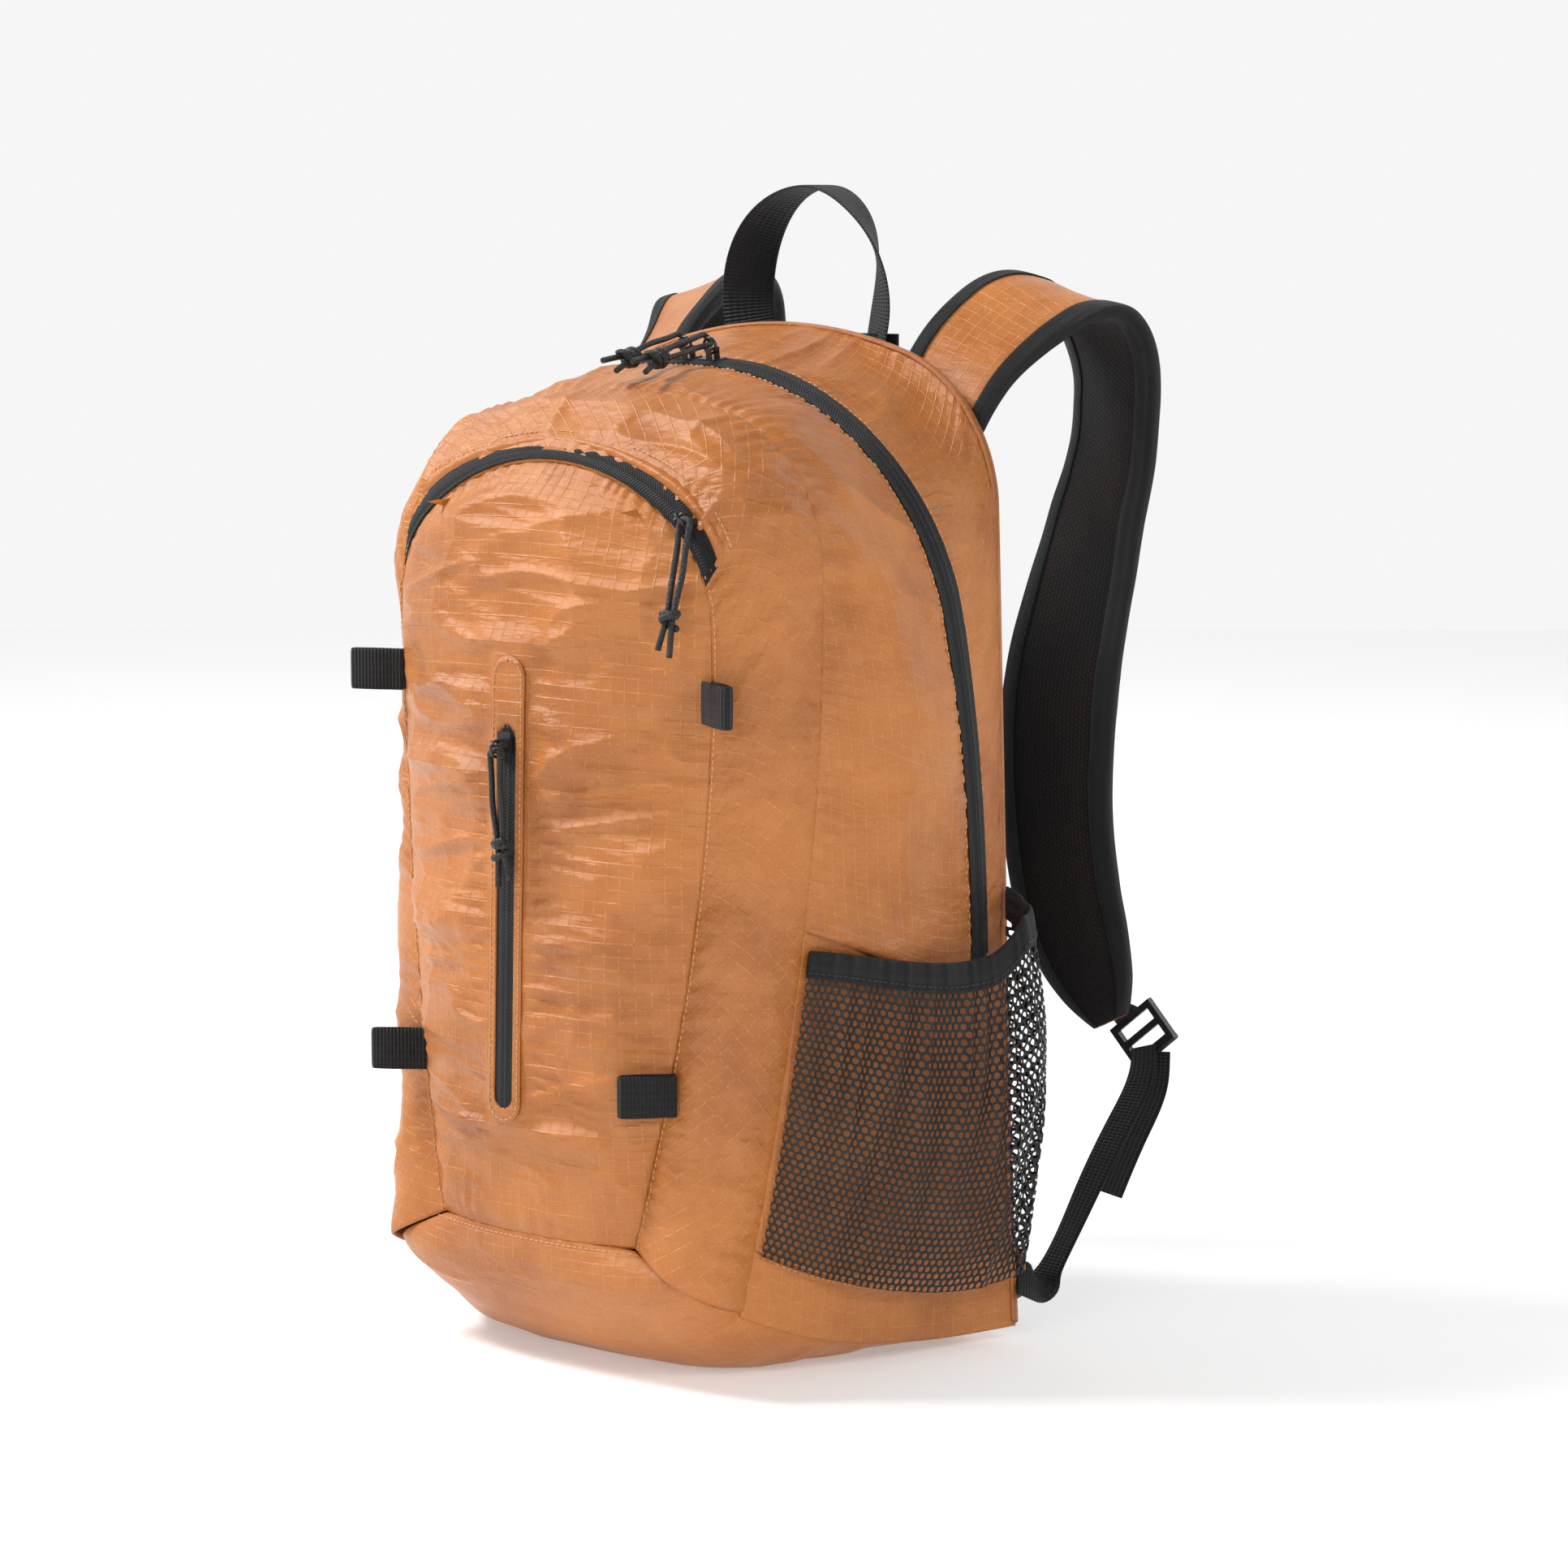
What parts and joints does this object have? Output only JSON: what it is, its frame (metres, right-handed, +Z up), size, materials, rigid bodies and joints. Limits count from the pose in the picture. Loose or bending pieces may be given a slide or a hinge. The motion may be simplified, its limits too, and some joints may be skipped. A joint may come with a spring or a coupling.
{
  "type": "daypack",
  "caption": "Soft hiking daypack in tan ripstop with black zips, cord pulls, open mesh side pockets, padded shoulder straps and webbing loops.",
  "frame": {"origin": "centre of the flat patch of the base that the pack stands on", "axes": "+Z up; the zipped front faces -Y and the back panel +Y; +X is the wearer's right when worn"},
  "size_m": [0.3332, 0.3208, 0.5442],
  "materials": {
    "shell_fabric": "coated ripstop nylon, satin",
    "back_mesh": "spacer mesh over foam",
    "zip_tape": "woven zip tape, matt",
    "lining": "plain weave",
    "open_mesh": "knitted open mesh",
    "binding": "twill tape",
    "webbing": "ribbed nylon webbing",
    "buckle_plastic": "moulded acetal",
    "slider_metal": "painted die casting",
    "cord": "braided cord with light flecks"
  },
  "bodies": {
    "pack": {"gusset_back": "shell_fabric", "gusset_front": "shell_fabric", "yoke_band": "shell_fabric", "front_panel": "shell_fabric", "zip_garage": "shell_fabric", "base_panel": "shell_fabric", "side_panel_left": "shell_fabric", "side_panel_right": "shell_fabric", "side_boot_left": "shell_fabric", "side_boot_right": "shell_fabric", "strap_root_left": "shell_fabric", "strap_root_right": "shell_fabric", "corner_tab_left": "shell_fabric", "corner_tab_right": "shell_fabric", "back_panel": "back_mesh", "back_pad": "back_mesh", "main_zip_tape": "zip_tape", "arch_zip_tape": "zip_tape", "stash_zip_tape": "zip_tape", "front_pocket_wall": "lining", "stash_pocket_bag": "lining", "mesh_pocket_left": "open_mesh", "mesh_pocket_right": "open_mesh", "pocket_hem_left": "binding", "pocket_hem_right": "binding", "haul_loop_feet": "webbing"},
    "strap_left": {"strap_pad_left": "back_mesh", "strap_binding_left": "binding", "adjuster_webbing_left": "webbing"},
    "strap_right": {"strap_pad_right": "back_mesh", "strap_binding_right": "binding", "adjuster_webbing_right": "webbing"},
    "handle": {"haul_loop": "webbing"},
    "loop_upper_left": {"tool_loop_upper_left": "webbing"},
    "loop_upper_right": {"tool_loop_upper_right": "webbing"},
    "loop_lower_left": {"tool_loop_lower_left": "webbing"},
    "loop_lower_right": {"tool_loop_lower_right": "webbing"},
    "buckle_left": {"ladder_lock_left": "buckle_plastic"},
    "buckle_right": {"ladder_lock_right": "buckle_plastic"},
    "main_slider_left_body": {"main_slider_left": "slider_metal", "main_pull_left_ring": "slider_metal"},
    "main_slider_right_body": {"main_slider_right": "slider_metal", "main_pull_right_ring": "slider_metal"},
    "arch_slider_body": {"arch_slider": "slider_metal"},
    "stash_slider_body": {"stash_slider": "slider_metal"},
    "main_pull_left": {"main_pull_left_cord": "cord", "main_pull_left_knot": "cord"},
    "main_pull_right": {"main_pull_right_cord": "cord", "main_pull_right_knot": "cord"},
    "arch_pull": {"arch_pull_ring": "slider_metal", "arch_pull_cord": "cord", "arch_pull_knot": "cord"},
    "stash_pull": {"stash_pull_ring": "slider_metal", "stash_pull_cord": "cord", "stash_pull_knot": "cord"}
  },
  "joints": [
    {"name": "main_slider_left_travel", "type": "hinge", "parent": "pack", "child": "main_slider_left_body", "pos_m": [-0.015, 0.04263, 0.34872], "axis": [0, 0.9632, 0.2689], "range_deg": [-82, 0]},
    {"name": "main_slider_right_travel", "type": "hinge", "parent": "pack", "child": "main_slider_right_body", "pos_m": [0.015, 0.04263, 0.34872], "axis": [0, 0.9632, 0.2689], "range_deg": [0, 82]},
    {"name": "main_pull_left_lift", "type": "hinge", "parent": "main_slider_left_body", "child": "main_pull_left", "pos_m": [-0.00544, 0.00943, 0.47222], "axis": [-0.9946, -0.1036, 0], "range_deg": [0, 45]},
    {"name": "main_pull_right_lift", "type": "hinge", "parent": "main_slider_right_body", "child": "main_pull_right", "pos_m": [0.01007, 0.00946, 0.47211], "axis": [-0.9895, -0.1443, 0], "range_deg": [0, 45]},
    {"name": "arch_slider_travel", "type": "hinge", "parent": "pack", "child": "arch_slider_body", "pos_m": [0, -0.08339, 0.30009], "axis": [0, 0.9993, 0.0384], "range_deg": [-84, 0]},
    {"name": "arch_pull_lift", "type": "hinge", "parent": "arch_slider_body", "child": "arch_pull", "pos_m": [0.08279, -0.09168, 0.39805], "axis": [0.6022, 0.4432, 0.664], "range_deg": [-60, 0]},
    {"name": "stash_slider_travel", "type": "slide", "parent": "pack", "child": "stash_slider_body", "axis": [0, -0.0276, -0.9996], "range_m": [0, 0.155]},
    {"name": "stash_pull_lift", "type": "hinge", "parent": "stash_slider_body", "child": "stash_pull", "pos_m": [0, -0.12215, 0.29318], "axis": [1, 0, 0], "range_deg": [-100, 0]},
    {"name": "handle_swing", "type": "hinge", "parent": "pack", "child": "handle", "pos_m": [0.006, 0.092, 0.476], "axis": [1, 0, 0], "range_deg": [-40, 75], "stiffness_Nm_per_rad": 0.05},
    {"name": "strap_left_swing", "type": "hinge", "parent": "pack", "child": "strap_left", "pos_m": [-0.094, 0.084, 0.45], "axis": [-0.1135, 0.0189, -0.9934], "range_deg": [-12, 25], "stiffness_Nm_per_rad": 0.4},
    {"name": "buckle_left_tilt", "type": "hinge", "parent": "strap_left", "child": "buckle_left", "pos_m": [-0.139, 0.173, 0.146], "axis": [0.7818, 0.0501, -0.6215], "range_deg": [-4, 12]},
    {"name": "strap_right_swing", "type": "hinge", "parent": "pack", "child": "strap_right", "pos_m": [0.094, 0.084, 0.45], "axis": [0.1135, 0.0189, -0.9934], "range_deg": [-12, 25], "stiffness_Nm_per_rad": 0.4},
    {"name": "buckle_right_tilt", "type": "hinge", "parent": "strap_right", "child": "buckle_right", "pos_m": [0.139, 0.173, 0.146], "axis": [0.7818, -0.0501, 0.6215], "range_deg": [-4, 12]},
    {"name": "loop_upper_left_fold", "type": "hinge", "parent": "pack", "child": "loop_upper_left", "pos_m": [-0.09935, -0.08857, 0.318], "axis": [0, 0, 1], "range_deg": [-10, 30], "stiffness_Nm_per_rad": 0.02},
    {"name": "loop_upper_right_fold", "type": "hinge", "parent": "pack", "child": "loop_upper_right", "pos_m": [0.09927, -0.08859, 0.316], "axis": [0, 0, 1], "range_deg": [-8, 30], "stiffness_Nm_per_rad": 0.02},
    {"name": "loop_lower_left_fold", "type": "hinge", "parent": "pack", "child": "loop_lower_left", "pos_m": [-0.07971, -0.09617, 0.14], "axis": [0, 0, 1], "range_deg": [-10, 30], "stiffness_Nm_per_rad": 0.02},
    {"name": "loop_lower_right_fold", "type": "hinge", "parent": "pack", "child": "loop_lower_right", "pos_m": [0.07784, -0.09648, 0.138], "axis": [0, 0, 1], "range_deg": [-5, 40], "stiffness_Nm_per_rad": 0.02}
  ]
}
